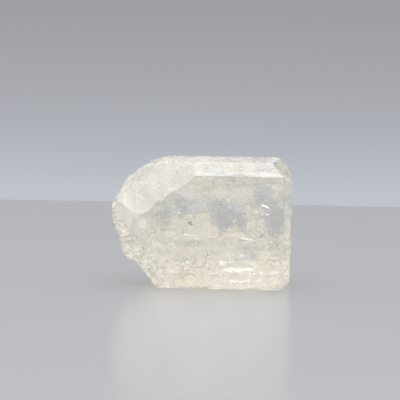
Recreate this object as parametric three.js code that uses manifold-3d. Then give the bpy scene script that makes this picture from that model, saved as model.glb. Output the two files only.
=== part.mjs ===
// A topaz crystal lying on one of its broad prism faces. Millimetres, +Z up.
// Its c axis runs along X: the grown end, closed by a flat base with bevels, faces +X,
// and the end that broke from the rock, all curved fractures and ledges, faces -X.
// The flat faces are set by their Miller indices and the axial ratio of topaz, so every
// angle between them is the mineral's own. The origin is on the surface that it rests
// on, under the middle of the bounding box.

import * as THREE from "three";
import Module from "manifold-3d";
import { mergeVertices } from "three/addons/utils/BufferGeometryUtils.js";

// Cell edges of topaz as ratios to b.
const AXIS_A = 0.5285;
const AXIS_C = 0.9539;

// Where the flat base is on X, and how high the crystal's own axis lies. Places in X and Y
// are from that axis. The finished crystal is centred on its box at the end.
const BASE_X = 17.25;
const AXIS_Z = 12.25;
const STOCK_LENGTH = 37.5;
const CUT_BLOCK = 80;

// The prism. Each face has its indices and its distance from the crystal's axis.
const PRISM = {
  top: { hk: [1, 2], distance: 12.25, striae: 5 },
  topBack: { hk: [1, 1], distance: 13.4, striae: 1 },
  back: { hk: [1, -1], distance: 12, striae: 2 },
  rear: { hk: [1, -2], distance: 9.9, striae: 7 },
  rearFoot: { hk: [0, -1], distance: 12.58, striae: 2 },
  foot: { hk: [-1, -2], distance: 12.25, striae: 0 },
  frontFoot: { hk: [-1, -1], distance: 13.9, striae: 0 },
  frontSill: { hk: [-1, 1], distance: 12.51, striae: 1 },
  front: { hk: [-1, 2], distance: 10.02, striae: 7 },
  brow: { hk: [0, 1], distance: 13.65, striae: 1 },
};
const STRIA_DEPTH = 0.08;
const STRIA_RISER = 0.28;

// Bevels round the base. Each one rises from a prism face, which it meets at x.
const BEVELS = [
  { on: "top", hkl: [1, 2, 2], x: 15 },
  { on: "top", hkl: [1, 3, 3], x: 14.8 },
  { on: "brow", hkl: [0, 1, 1], x: 15.8 },
  { on: "front", hkl: [-1, 2, 2], x: 15.8 },
  { on: "frontSill", hkl: [-1, 1, 2], x: 16.1 },
  { on: "frontFoot", hkl: [-1, -1, 2], x: 15.6 },
  { on: "foot", hkl: [-1, -2, 1], x: 14.6 },
  { on: "foot", hkl: [-1, -2, 2], x: 15.7 },
  { on: "rearFoot", hkl: [0, -1, 1], x: 15.6 },
  { on: "rear", hkl: [1, -2, 2], x: 15.9 },
  { on: "back", hkl: [1, -1, 2], x: 15.8 },
  { on: "topBack", hkl: [1, 1, 2], x: 15.6 },
];

// Growth steps of the flat base: past this distance towards a face, it lies lower.
const GROWTH_STEPS = [
  { hk: [-1, 1], distance: 7.6, drop: 0.22 },
  { hk: [1, -2], distance: 6.1, drop: 0.3 },
  { hk: [-1, -2], distance: 9.3, drop: 0.18 },
];

// Broken surfaces of the -X end. Each spreads from a blow point, facing out along face,
// with a bend that is positive where it bulges, and has ripples round the blow point.
// It stops at its reach, where a flared wall forms a ledge.
const FRACTURES = [
  { blow: [-2.2, -7.6, 23.4], face: [-0.385, -0.652, 0.652], bend: 0.01, ripple: 0.1, reach: 24 },
  { blow: [-9.2, 1.5, 24], face: [-0.4, 0.06, 0.91], bend: 0.05, ripple: 0.08, reach: 13 },
  { blow: [-14.6, -6.4, 15.5], face: [-0.72, -0.66, 0.1], bend: 0.03, ripple: 0.06, reach: 18 },
  { blow: [-5.5, 9.5, 20], face: [-0.55, 0.68, 0.48], bend: 0.012, ripple: 0.12, reach: 24 },
  { blow: [-15.65, -2.4, 9.4], face: [-0.92, -0.12, -0.37], bend: -0.008, ripple: 0.06, reach: 20 },
  { blow: [-10.2, -9.3, 6.5], face: [-0.6, -0.75, -0.28], bend: 0.012, ripple: 0.08, reach: 20 },
  { blow: [-8.4, 8.8, 8], face: [-0.62, 0.76, -0.2], bend: 0.015, ripple: 0.1, reach: 24 },
  { blow: [-5.2, -2.5, -3.9], face: [-0.756, -0.05, -0.654], bend: 0, reach: 12, flare: 0.9 },
  { blow: [-16.2, -3, 17.7], face: [-0.89, -0.08, 0.45], bend: 0.03, ripple: 0.06, reach: 8 },
];

// Flat steps of the -X end, where the crystal parted along its cleavage, square to the
// c axis: it ends at x on the side of the riser that the riser faces, in Y and Z.
const CLEAVAGE_STEPS = [
  { x: -17.4, riser: [0, 1], through: [0, -1] },
  { x: -15.3, riser: [1, -0.25], through: [2.2, 11] },
  { x: -13.6, riser: [1, -0.1], through: [4.1, 11] },
  { x: -11.7, riser: [1, 0.1], through: [5.9, 12] },
  { x: -9.2, riser: [0.9, 0.5], through: [7.6, 14] },
  { x: -12.7, riser: [-0.9, -0.35], through: [-6.1, 8] },
  { x: -11, riser: [-0.85, -0.5], through: [-7.6, 6] },
  { x: -9.4, riser: [-0.8, -0.6], through: [-8.8, 4] },
];

// Shallow chips out of edges: each is a hollow as wide and deep as given.
const CHIPS = [
  { at: [-6.9, -3.7, 24.4], face: [-0.3, -0.4, 0.85], width: 2.6, depth: 0.4 },
  { at: [-4.9, -4.9, 24.4], face: [-0.2, -0.5, 0.85], width: 2, depth: 0.35 },
  { at: [-3.2, -5.9, 24.4], face: [-0.2, -0.5, 0.85], width: 1.6, depth: 0.3 },
  { at: [-7.4, -9.8, 18], face: [-0.3, -0.9, 0.3], width: 2.4, depth: 0.3 },
  { at: [-11.5, -9.7, 13.5], face: [-0.45, -0.9, 0], width: 4, depth: 0.35 },
  { at: [-8.4, -10.4, 3.4], face: [-0.5, -0.85, -0.1], width: 3.2, depth: 0.45 },
  { at: [7, 9.1, 23.6], face: [0, 0.6, 0.8], width: 3, depth: 0.3 },
  { at: [-3, 9.4, 3.6], face: [-0.2, 0.9, -0.4], width: 3.4, depth: 0.4 },
  { at: [16.6, 6, 1.4], face: [0.6, 0.4, -0.7], width: 2.4, depth: 0.4 },
  { at: [3.6, -6.91, 24.5], face: [0, -0.37, 0.93], width: 1.3, depth: 0.16 },
];
const CUTTER_HEIGHT = 26;
const RING_STEP = 0.8;
const MOST_SECTORS = 44;
const RIPPLE_PITCH = 3.1;
const WAVER = 0.12;

const TOPAZ = new THREE.MeshStandardMaterial({
  name: "topaz",
  color: 0xe6e0d0,
  roughness: 0.08,
  metalness: 0,
  transparent: true,
  opacity: 0.6,
});

// Directions of the crystal's axes in the part: b leans so that the top face is level.
const LEAN = Math.PI / 2 - Math.atan2(1 / AXIS_A, 2);
const A_AXIS = new THREE.Vector3(0, Math.sin(LEAN), Math.cos(LEAN));
const B_AXIS = new THREE.Vector3(0, -Math.cos(LEAN), Math.sin(LEAN));
const C_AXIS = new THREE.Vector3(1, 0, 0);
const CENTRE = new THREE.Vector3(0, 0, AXIS_Z);
const UP = new THREE.Vector3(0, 0, 1);

const wasm = await Module();
wasm.setup();

// A repeatable stream of numbers from 0 to 1.
function randomStream(seed) {
  let state = seed;
  return () => {
    state = (state * 1664525 + 1013904223) % 4294967296;
    return state / 4294967296;
  };
}

// The outward unit normal of the face with these indices.
function faceNormal([h, k, l = 0]) {
  return new THREE.Vector3()
    .addScaledVector(A_AXIS, h / AXIS_A)
    .addScaledVector(B_AXIS, k)
    .addScaledVector(C_AXIS, l / AXIS_C)
    .normalize();
}

// A closed three.js geometry as a solid that can be cut and joined.
function solidOf(geometry) {
  const bare = geometry.clone();
  bare.deleteAttribute("normal");
  bare.deleteAttribute("uv");
  const merged = mergeVertices(bare, 1e-4);
  return new wasm.Manifold(
    new wasm.Mesh({
      numProp: 3,
      vertProperties: new Float32Array(merged.attributes.position.array),
      triVerts: new Uint32Array(merged.index.array),
    }),
  );
}

// A solid as a three.js geometry with flat faces.
function geometryOf(solid) {
  const mesh = solid.getMesh();
  const geometry = new THREE.BufferGeometry();
  geometry.setAttribute("position", new THREE.BufferAttribute(mesh.vertProperties, 3));
  geometry.setIndex(new THREE.BufferAttribute(mesh.triVerts, 1));
  geometry.computeVertexNormals();
  return geometry;
}

// Where the lines of two neighbouring prism faces cross, in the plane across the c axis.
function cornerBetween(one, other) {
  const [n1, n2] = [faceNormal(one.hk), faceNormal(other.hk)];
  const cross = n1.y * n2.z - n1.z * n2.y;
  return new THREE.Vector2(
    (one.distance * n2.z - other.distance * n1.z) / cross,
    (other.distance * n1.y - one.distance * n2.y) / cross,
  );
}

// Points from one corner of a prism face to the next, stepped by shallow striae that
// run along the crystal. The steps only go inward.
function striatedSide(from, to, face, random) {
  const normal = faceNormal(face.hk);
  const inward = new THREE.Vector2(-normal.y, -normal.z);
  const width = from.distanceTo(to);
  const points = [from];
  const pitch = width / (face.striae + 1);
  for (let i = 1; i <= face.striae; i++) {
    const middle = pitch * (i + 0.5 * (random() - 0.5));
    const half = pitch * (0.18 + 0.14 * random());
    const riser = Math.min(STRIA_RISER, half * 0.6);
    const depth = STRIA_DEPTH * (0.35 + 0.65 * random());
    for (const [along, sunk] of [
      [middle - half, 0],
      [middle - half + riser, depth],
      [middle + half - riser, depth],
      [middle + half, 0],
    ])
      points.push(from.clone().lerp(to, along / width).addScaledVector(inward, sunk));
  }
  return points;
}

// The long prism, its faces lightly striated, before its ends are made.
function buildPrism() {
  const faces = Object.values(PRISM);
  const random = randomStream(11);
  const corners = faces.map((face, i) => cornerBetween(face, faces[(i + 1) % faces.length]));
  const outline = faces.flatMap((face, i) =>
    striatedSide(corners.at(i - 1), corners[i], face, random),
  );
  const shape = new THREE.Shape(outline);
  const stock = new THREE.ExtrudeGeometry(shape, { depth: STOCK_LENGTH, bevelEnabled: false });
  const shapeToPart = new THREE.Matrix4().makeBasis(
    new THREE.Vector3(0, 1, 0),
    new THREE.Vector3(0, 0, 1),
    C_AXIS,
  );
  stock.applyMatrix4(shapeToPart);
  stock.translate(BASE_X - STOCK_LENGTH, 0, AXIS_Z);
  return solidOf(stock);
}

// Everything beyond the plane with this outward normal through this point.
function spaceBeyond(normal, point) {
  const block = new THREE.BoxGeometry(CUT_BLOCK, CUT_BLOCK, CUT_BLOCK);
  block.translate(0, 0, CUT_BLOCK / 2);
  block.applyQuaternion(new THREE.Quaternion().setFromUnitVectors(UP, normal));
  block.translate(...point);
  return solidOf(block);
}

function bevelCutter({ on, hkl, x }) {
  const face = PRISM[on];
  const onPrismFace = CENTRE.clone().addScaledVector(faceNormal(face.hk), face.distance).setX(x);
  return spaceBeyond(faceNormal(hkl), onPrismFace);
}

// Everything past x along the c axis that is also on the outer side of a riser plane.
function stepCutter(side, x, outward, through) {
  const layer = spaceBeyond(C_AXIS.clone().multiplyScalar(side), new THREE.Vector3(x, 0, 0));
  return layer.intersect(spaceBeyond(outward, through));
}

function growthStepCutter({ hk, distance, drop }) {
  const normal = faceNormal(hk);
  return stepCutter(1, BASE_X - drop, normal, CENTRE.clone().addScaledVector(normal, distance));
}

function cleavageStepCutter({ x, riser, through }) {
  const normal = new THREE.Vector3(0, ...riser).normalize();
  return stepCutter(-1, x, normal, new THREE.Vector3(0, ...through));
}

// Slow unevenness of a broken surface, from -1 to 1.
function waver(x, z, phase) {
  return (
    0.5 * Math.sin(0.55 * x + 0.31 * z + phase) +
    0.3 * Math.sin(-0.42 * x + 0.83 * z + 2.1 * phase) +
    0.2 * Math.sin(1.31 * x - 1.07 * z + 3.7 * phase)
  );
}

// The body that a fracture takes away: everything outside its curved, rippled surface.
function fractureCutter({ blow, face, bend, reach, ripple = 0, flare = 0.15 }, index) {
  const rings = Math.ceil(reach / RING_STEP);
  const profile = [];
  for (let ring = 0; ring <= rings; ring++) {
    const r = (reach * ring) / rings;
    const wave = Math.cos((2 * Math.PI * r) / RIPPLE_PITCH);
    profile.push(new THREE.Vector2(r, (-bend * r * r) / 2 - ripple * (1 - wave) * 0.5));
  }
  profile.push(new THREE.Vector2(reach + flare * CUTTER_HEIGHT, CUTTER_HEIGHT));
  profile.push(new THREE.Vector2(0, CUTTER_HEIGHT));
  const sectors = Math.min(MOST_SECTORS, Math.round(12 + 6 * reach));
  const cutter = new THREE.LatheGeometry(profile, sectors);
  const uneven = WAVER * Math.min(1, reach / 12);
  const place = cutter.getAttribute("position");
  for (let i = 0; i < place.count; i++)
    place.setY(i, place.getY(i) + uneven * waver(place.getX(i), place.getZ(i), index + 1));
  const outward = new THREE.Vector3(...face).normalize();
  const turn = new THREE.Quaternion().setFromUnitVectors(new THREE.Vector3(0, 1, 0), outward);
  cutter.applyQuaternion(turn);
  cutter.translate(...blow);
  return solidOf(cutter);
}

// A chip is a small bowl-shaped fracture that is dug into the surface at a point.
function chipCutter({ at, face, width, depth }, index) {
  const outward = new THREE.Vector3(...face).normalize();
  const blow = new THREE.Vector3(...at).addScaledVector(outward, -depth);
  const bend = (-8 * depth) / (width * width);
  return fractureCutter({ blow, face, bend, reach: 0.8 * width }, index);
}

function buildCrystal() {
  const cutters = [
    ...BEVELS.map(bevelCutter),
    ...GROWTH_STEPS.map(growthStepCutter),
    ...FRACTURES.map(fractureCutter),
    ...CLEAVAGE_STEPS.map(cleavageStepCutter),
    ...CHIPS.map(chipCutter),
  ];
  const solid = cutters.reduce((left, cutter) => left.subtract(cutter), buildPrism());
  const geometry = geometryOf(solid);
  geometry.computeBoundingBox();
  const middle = geometry.boundingBox.getCenter(new THREE.Vector3());
  const mesh = new THREE.Mesh(geometry, TOPAZ);
  mesh.name = "topaz_crystal";
  mesh.position.set(-middle.x, -middle.y, 0);
  return mesh;
}

const part = new THREE.Group();
part.name = "topaz_specimen";
part.add(buildCrystal());

export default part;
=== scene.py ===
"""A topaz crystal on a pale studio table: the finely finished crystal, its light and its camera."""

import math
from random import Random
from typing import NamedTuple

import bmesh
import bpy
from mathutils import Matrix, Vector, noise


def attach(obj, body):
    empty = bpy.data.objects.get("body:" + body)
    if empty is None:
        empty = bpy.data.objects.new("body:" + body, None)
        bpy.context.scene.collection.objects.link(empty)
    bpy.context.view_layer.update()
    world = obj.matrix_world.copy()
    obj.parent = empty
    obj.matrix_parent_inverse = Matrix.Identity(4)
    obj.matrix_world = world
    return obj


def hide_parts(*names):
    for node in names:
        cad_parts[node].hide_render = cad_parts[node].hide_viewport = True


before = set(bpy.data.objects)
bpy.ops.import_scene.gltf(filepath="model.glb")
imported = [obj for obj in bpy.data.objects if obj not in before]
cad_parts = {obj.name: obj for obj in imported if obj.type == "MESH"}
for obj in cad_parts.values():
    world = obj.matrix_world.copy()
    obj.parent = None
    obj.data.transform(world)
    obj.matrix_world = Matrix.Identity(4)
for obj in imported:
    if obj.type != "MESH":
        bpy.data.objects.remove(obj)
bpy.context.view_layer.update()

bl_info = {
    "name": "Topaz Crystal",
    "version": (1, 0, 0),
    "blender": (4, 5, 0),
    "location": "View3D > Sidebar > Topaz",
    "description": "Builds a topaz crystal with one broken end, and the table and light it is shown in",
    "category": "Add Mesh",
}

MM = 0.001

# Cell edges of topaz as ratios to b. All lengths down to the next MM are in millimetres.
AXIS_A = 0.5285
AXIS_C = 0.9539
BASE_X = 17.25
AXIS_Z = 12.25
STOCK_LENGTH = 37.5
CUT_BLOCK = 80


class PrismFace(NamedTuple):
    """A face along the crystal, at a distance from its axis, with so many broad striae."""

    hk: tuple
    distance: float
    striae: int


class Bevel(NamedTuple):
    """A face of the grown end that meets a prism face at x."""

    on: str
    hkl: tuple
    x: float


class GrowthStep(NamedTuple):
    """A part of the flat end that lies lower, past a distance towards a face."""

    hk: tuple
    distance: float
    drop: float


class Fracture(NamedTuple):
    """A broken surface that spreads from a blow point and stops at its reach.

    Its ripples are rings around the blow point, and its shards are small facets over them.
    """

    blow: tuple
    face: tuple
    bend: float
    reach: float
    ripple: float = 0.0
    flare: float = 0.15
    shards: float = 0.3


class CleavageStep(NamedTuple):
    """A ledge square to the c axis at x, on the side that the riser faces in Y and Z."""

    x: float
    riser: tuple
    through: tuple


class Chip(NamedTuple):
    """A shallow hollow that a knock left on an edge."""

    at: tuple
    face: tuple
    width: float
    depth: float


PRISM = {
    "top": PrismFace((1, 2), 12.25, 5),
    "topBack": PrismFace((1, 1), 13.4, 1),
    "back": PrismFace((1, -1), 12, 2),
    "rear": PrismFace((1, -2), 9.9, 7),
    "rearFoot": PrismFace((0, -1), 12.58, 2),
    "foot": PrismFace((-1, -2), 12.25, 0),
    "frontFoot": PrismFace((-1, -1), 13.9, 0),
    "frontSill": PrismFace((-1, 1), 12.51, 1),
    "front": PrismFace((-1, 2), 10.02, 7),
    "brow": PrismFace((0, 1), 13.65, 1),
}
STRIA_DEPTH = 0.08
STRIA_SOFTENING = 0.3
STRIA_RISER = 0.28
STRIA_SEED = 11

# Fine striae lie on and between the broad ones, and fade in and out along the crystal.
FINE_WIDTH = (0.12, 0.62)
FINE_RISER = 0.035
FINE_EDGE = 0.15
FADE_ALONG = 0.16
FADE_BETWEEN = 0.37
SLICE = 0.75

BEVELS = (
    Bevel("top", (1, 2, 2), 15),
    Bevel("top", (1, 3, 3), 14.8),
    Bevel("brow", (0, 1, 1), 15.8),
    Bevel("front", (-1, 2, 2), 15.8),
    Bevel("frontSill", (-1, 1, 2), 16.1),
    Bevel("frontFoot", (-1, -1, 2), 15.6),
    Bevel("foot", (-1, -2, 1), 14.6),
    Bevel("foot", (-1, -2, 2), 15.7),
    Bevel("rearFoot", (0, -1, 1), 15.6),
    Bevel("rear", (1, -2, 2), 15.9),
    Bevel("back", (1, -1, 2), 15.8),
    Bevel("topBack", (1, 1, 2), 15.6),
)

GROWTH_STEPS = (
    GrowthStep((-1, 1), 7.6, 0.22),
    GrowthStep((1, -2), 6.1, 0.3),
    GrowthStep((-1, -2), 9.3, 0.18),
)

FRACTURES = (
    Fracture((-2.2, -7.6, 23.4), (-0.385, -0.652, 0.652), 0.01, 24, 0.1, shards=0.18),
    Fracture((-9.2, 1.5, 24), (-0.4, 0.06, 0.91), 0.05, 13, 0.08),
    Fracture((-14.6, -6.4, 15.5), (-0.72, -0.66, 0.1), 0.03, 18, 0.06, shards=0.12),
    Fracture((-5.5, 9.5, 20), (-0.55, 0.68, 0.48), 0.012, 24, 0.12),
    Fracture((-15.65, -2.4, 9.4), (-0.92, -0.12, -0.37), -0.008, 20, 0.06, shards=1),
    Fracture((-10.2, -9.3, 6.5), (-0.6, -0.75, -0.28), 0.012, 20, 0.08, shards=1),
    Fracture((-8.4, 8.8, 8), (-0.62, 0.76, -0.2), 0.015, 24, 0.1),
    Fracture((-5.2, -2.5, -3.9), (-0.756, -0.05, -0.654), 0, 12, 0, 0.9),
    Fracture((-16.2, -3, 17.7), (-0.89, -0.08, 0.45), 0.03, 8, 0.06),
)

CLEAVAGE_STEPS = (
    CleavageStep(-17.4, (0, 1), (0, -1)),
    CleavageStep(-15.3, (1, -0.25), (2.2, 11)),
    CleavageStep(-13.6, (1, -0.1), (4.1, 11)),
    CleavageStep(-11.7, (1, 0.1), (5.9, 12)),
    CleavageStep(-9.2, (0.9, 0.5), (7.6, 14)),
    CleavageStep(-12.7, (-0.9, -0.35), (-6.1, 8)),
    CleavageStep(-11, (-0.85, -0.5), (-7.6, 6)),
    CleavageStep(-9.4, (-0.8, -0.6), (-8.8, 4)),
)

CHIPS = (
    Chip((-6.9, -3.7, 24.4), (-0.3, -0.4, 0.85), 2.6, 0.4),
    Chip((-4.9, -4.9, 24.4), (-0.2, -0.5, 0.85), 2, 0.35),
    Chip((-3.2, -5.9, 24.4), (-0.2, -0.5, 0.85), 1.6, 0.3),
    Chip((-7.4, -9.8, 18), (-0.3, -0.9, 0.3), 2.4, 0.3),
    Chip((-11.5, -9.7, 13.5), (-0.45, -0.9, 0), 4, 0.35),
    Chip((-8.4, -10.4, 3.4), (-0.5, -0.85, -0.1), 3.2, 0.45),
    Chip((7, 9.1, 23.6), (0, 0.6, 0.8), 3, 0.3),
    Chip((-3, 9.4, 3.6), (-0.2, 0.9, -0.4), 3.4, 0.4),
    Chip((16.6, 6, 1.4), (0.6, 0.4, -0.7), 2.4, 0.4),
    Chip((3.6, -6.91, 24.5), (0, -0.37, 0.93), 1.3, 0.16),
)


class Rim(NamedTuple):
    """An edge with small nicks: its ends, where they face, how many, how wide, how steep."""

    start: tuple
    end: tuple
    face: tuple
    count: int
    widths: tuple
    slope: float = 0.16


RIMS = (
    Rim((-9, -2.4, 24.3), (-1.4, -7, 24.4), (-0.25, -0.5, 0.83), 18, (0.6, 1.5), 0.24),
    Rim((-10.4, 0.5, 23.7), (-15.2, -1.5, 19.8), (-0.7, -0.1, 0.7), 12, (0.9, 2.2), 0.24),
    Rim((-15.6, -2, 19.2), (-17.2, -3, 15.6), (-0.9, -0.2, 0.4), 9, (0.8, 1.7), 0.26),
    Rim((-17.2, -3.4, 14.8), (-15.2, -4, 9.6), (-0.9, -0.4, -0.2), 11, (0.7, 1.5), 0.26),
    Rim((-14.6, -4.4, 8.6), (-9, -8, 1.6), (-0.7, -0.5, -0.5), 18, (0.7, 1.8), 0.24),
    Rim((-13.4, -7, 10), (-11, -8.6, 6), (-0.6, -0.75, -0.1), 14, (0.7, 2), 0.2),
    Rim((-15.4, -5.6, 12.5), (-13, -8, 9), (-0.7, -0.7, 0), 10, (0.6, 1.4), 0.2),
    Rim((-12, -8.6, 8), (-9, -9.8, 3), (-0.55, -0.8, -0.2), 14, (0.5, 1.5), 0.22),
    Rim((-1.4, -9.9, 19.8), (15, -9.9, 19.8), (0, -0.86, 0.5), 5, (0.3, 0.7)),
    Rim((-1, -6.9, 24.5), (14, -6.9, 24.5), (0, -0.4, 0.92), 6, (0.3, 0.8)),
    Rim((15.8, -10, 5), (15.8, -10, 19.5), (0.5, -0.86, 0), 7, (0.3, 0.8)),
    Rim((17.25, -7, 5), (17.25, -7, 18), (0.8, -0.6, 0), 6, (0.3, 0.8)),
    Rim((-8, 6.4, 23.8), (13, 7.6, 24.2), (0, 0.3, 0.95), 7, (0.4, 1.2)),
    Rim((-4, 10.3, 19.5), (15, 10.3, 19.5), (0, 0.95, 0.3), 6, (0.4, 1)),
    Rim((-6, 9.6, 4), (15, 9.6, 4), (0, 0.9, -0.44), 7, (0.5, 1.4)),
    Rim((17.1, 5, 5), (17.1, 4, 19), (0.8, 0.5, 0.2), 5, (0.4, 1)),
)
NICK_SEED = 23
NICK_LEAN = 0.35

# Meshes of the broken surfaces: rings and sectors are as wide as each other at SQUARE_AT.
CUTTER_HEIGHT = 26
RIPPLE_PITCH = 3.1
WAVER = 0.12
RING_STEP = 0.22
CHIP_RING_STEP = 0.12
FEWEST_RINGS = 6
SECTORS = (24, 200)
SQUARE_AT = 0.55
FULL_WAVER_REACH = 12
CALM_RADIUS = 4

# Relief of the broken surfaces: plumes, arrest lines, speckle and small flat shards.
HACKLES = 46
PLUME_HEIGHT = 0.2
PLUME_STRETCH = 0.12
GUST_SCALE = 0.22
GUST_SHARE = 0.15
ARREST_HEIGHT = 0.025
ARREST_PITCH = 5.2
ARREST_SWAY = 1.6
SPECKLE_HEIGHT = 0.025
SPECKLE_SCALE = 2.4
SHARD_PITCHES = (1.9, 0.8)
SHARD_FIELD = 0.16
SHARD_CONTRAST = 2.5
SHARD_SLOPE = 0.6
SHARD_STEP = 0.1
SHARD_SHUFFLE = 97
LEAST_EDGE = 0.0005
SHARP_ANGLE = math.radians(9)
SHARP_BREAK_ANGLE = math.radians(16)


class Cloud(NamedTuple):
    """A patch of tiny bubbles: its middle, how far it spreads and how many there are."""

    middle: tuple
    spread: tuple
    count: int


class Veil(NamedTuple):
    """A long thin crack, by its ends and its width."""

    start: tuple
    end: tuple
    width: float


VEILS = (
    Veil((-2.1, -5, 19.6), (-0.6, -5, 18.6), 0.45),
    Veil((-7.8, -4, 15.9), (-5.9, -4, 13.9), 0.5),
    Veil((-5.9, -4.2, 13.8), (-6.8, -4, 12.8), 0.35),
    Veil((11.2, -4, 16.4), (13.5, -4, 15.4), 0.5),
    Veil((7.1, -3, 9.7), (11.4, -3.4, 9.1), 0.35),
    Veil((7.6, -4, 8.9), (10.2, -4, 9), 0.3),
    Veil((-4.4, -3, 10.3), (-0.3, -3, 9.9), 0.3),
    Veil((-3.6, -5, 9.6), (0.8, -5, 9.5), 0.25),
    Veil((3, -4, 11.5), (5.6, -4, 10), 0.5),
    Veil((4.6, -3, 11.8), (6.4, -3, 10.4), 0.4),
    Veil((8.2, -1, 20.6), (9.9, -1, 19.8), 0.4),
    Veil((-12, -4, 10.4), (-10.3, -4, 11.7), 0.4),
    Veil((11.7, -4, 12.3), (13.3, -4, 14), 0.4),
    Veil((4.8, -4, 7.8), (7.2, -4, 8.8), 0.3),
    Veil((13.2, -2, 20), (14.6, -2, 18.9), 0.5),
    Veil((0.6, -2, 20.8), (2.6, -2, 20.9), 0.3),
)

# Inside the crystal: thin cracks, most of them along the cleavage or facing up and forward.
LEAST_FLAW_X = -15
FLAW_HALF_DEPTH = 10
LOWEST_FLAW = 1
HIGHEST_FLAW = 24
CRACKS = 420
CRACK_RADII = (0.15, 0.75)
CRACK_GAP = 0.01
CRACK_SCATTER = 0.3
CRACK_STRETCHES = (0.4, 1.0)
CRACK_RAGGED = (0.55, 1.0)
CRACK_FLAT_PART = 0.6
CRACK_SHOULDER = 0.7
CRACK_MARGIN = 0.2
BUBBLE_MARGIN = 0.3
# Cracks that face this way send the light from above to the camera's side.
GLINT_NORMAL = Vector((0, -0.72, 0.69))
# A direction that is listed twice is twice as common.
CRACK_NORMALS = (
    (1, 0, 0),
    GLINT_NORMAL,
    GLINT_NORMAL,
    (0.3, -0.5, 0.8),
    (0, 0, 1),
    (-0.5, -0.6, 0.6),
)
FLAW_SECTORS = 9
FLAW_SEED = 5
BUBBLE_RADII = (0.07, 0.17)
CLOUDS = (
    Cloud((-2, -3, 4), (2.2, 2, 1), 260),
    Cloud((14, -2, 6.5), (0.9, 2, 1.6), 200),
    Cloud((1.2, -4, 6.8), (0.5, 1, 0.4), 60),
    Cloud((-9, -4, 9), (2, 2, 3), 160),
    Cloud((9, 0, 11), (2.5, 3, 1.2), 140),
)

# How much of each surface is frosted by etching and bruising. The rest of it is clear.
FROST = {
    "top": 0.6,
    "topBack": 0.4,
    "back": 0.8,
    "rear": 1.0,
    "rearFoot": 0.9,
    "foot": 0.6,
    "frontFoot": 0.2,
    "frontSill": 0.08,
    "front": 0.2,
    "brow": 0.42,
}
END_FROST = 0.3
BROKEN_FROST = 0.46
UNDERCUT_FROST = 0.28

# How bright the frost is where it isn't white.
TONE = {"rear": 0.95, "rearFoot": 0.82, "foot": 0.8}
SAME_FACE = 0.995


class Patch(NamedTuple):
    """A part of the surface: its middle and half sizes in X and Z, and its strength."""

    x: float
    z: float
    half_x: float
    half_z: float
    strength: float = 1.0


# Clear patches of the front and rear faces.
WINDOWS = (
    Patch(3.4, 14.9, 2.6, 1.9),
    Patch(5.4, 13.4, 3.4, 2.7),
    Patch(4.2, 11.7, 1.1, 2.4),
    Patch(8.0, 12.0, 1.3, 2.2, 0.85),
    Patch(-7.3, 13.6, 1.8, 1.9),
    Patch(-7.0, 11.8, 0.9, 1.6, 0.6),
    Patch(-3.4, 15.2, 1.5, 1.5),
    Patch(-2.0, 14.0, 1.3, 2.0, 0.9),
    Patch(-5.0, 14.8, 2.2, 1.2, 0.4),
    Patch(0.6, 14.6, 1.8, 1.6, 0.4),
    Patch(-2.4, 9.3, 2.6, 1.2, 0.35),
    Patch(8.6, 7.8, 2.6, 1.2, 0.35),
    Patch(1.5, 18.6, 2.4, 0.9, 0.25),
    Patch(10.3, 5.4, 1.6, 1.8, 0.3),
)

# Patches that are evenly milky, on broken and grown faces alike.
MILKY_PATCHES = (
    Patch(-13.2, 14.2, 4.2, 5, 0.8),
    Patch(-9.6, 17.6, 5, 3, 0.5),
    Patch(-2.4, 18.9, 3.6, 1.9, 0.4),
    Patch(5, 19, 6, 1.3, 0.35),
)
MILKY_FROST = 0.85

# Patches where the frost is painted darker, and by how much. The first is painted shade that stands in
# for a steeper break that gets less light from above; the second darkens the frost low in the middle.
SHADED_PATCHES = (
    Patch(-9.4, 17.2, 5.4, 2.9, 0.24),
    Patch(2, 5.8, 9, 3.4, 0.12),
)

# A clear patch in the form of an arc, near the flat end, with where it fades in along X and Z.
ARC_MIDDLE = (8.3, 11.9)
ARC_RADIUS = 6.2
ARC_HALF_WIDTH = 1.6
ARC_IN_X = (9.4, 10.4)
ARC_IN_Z = (7.5, 10.0)


class Grain(NamedTuple):
    """A noise of a look: its scale per metre, detail and roughness, and where a ramp cuts it."""

    scale: float
    detail: float
    roughness: float = 0.5
    cut: tuple = (0.0, 1.0)


class Strokes(NamedTuple):
    """Short flecks that all slant one way: the lower their level, the more there are."""

    lean: float
    scale: float
    stretch: float = 0.28
    level: float = 0.6


# Patterns of the frost.
FINE_GRAIN = Grain(2600, 3)
MOTTLE = Grain(520, 7, 0.75)
CLOUDING = Grain(150, 2)
FLECK_FIELD = Grain(230, 2, cut=(0.42, 0.6))
PITS = Grain(1500, 4, 0.7, (0.55, 0.7))
PIT_FIELD = Grain(210, 2, cut=(0.48, 0.6))
CURTAIN = Grain(1300, 3, 0.6, (0.4, 0.75))
CURTAIN_STRETCH = (1.0, 0.3, 0.12)
SOFT_BORDER = Grain(300, 4, 0.6, (-0.1, 1.1))
SOFT_RAGGED = 0.9
WINDOW_WARP = Grain(260, 3, 0.6)
WINDOW_WARP_WIDTH = 3
WINDOW_BORDER = Grain(900, 5, 0.7, (-0.1, 0.25))
WINDOW_STRETCH = (1.0, 0.4, 0.16)
WINDOW_RAGGED = 5
ARC_CUT = (-0.1, 0.3)
STROKE_DETAIL = (3, 0.6)
STROKE_SOFTNESS = 0.08
UP_FLECKS = Strokes(0.7, 1500)
DOWN_FLECKS = Strokes(-0.9, 1300)
BRIGHT_LINES = Strokes(1.4, 1300, 0.16, 0.54)
DARK_LINES = Strokes(-1.45, 1050, 0.16, 0.54)

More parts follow.
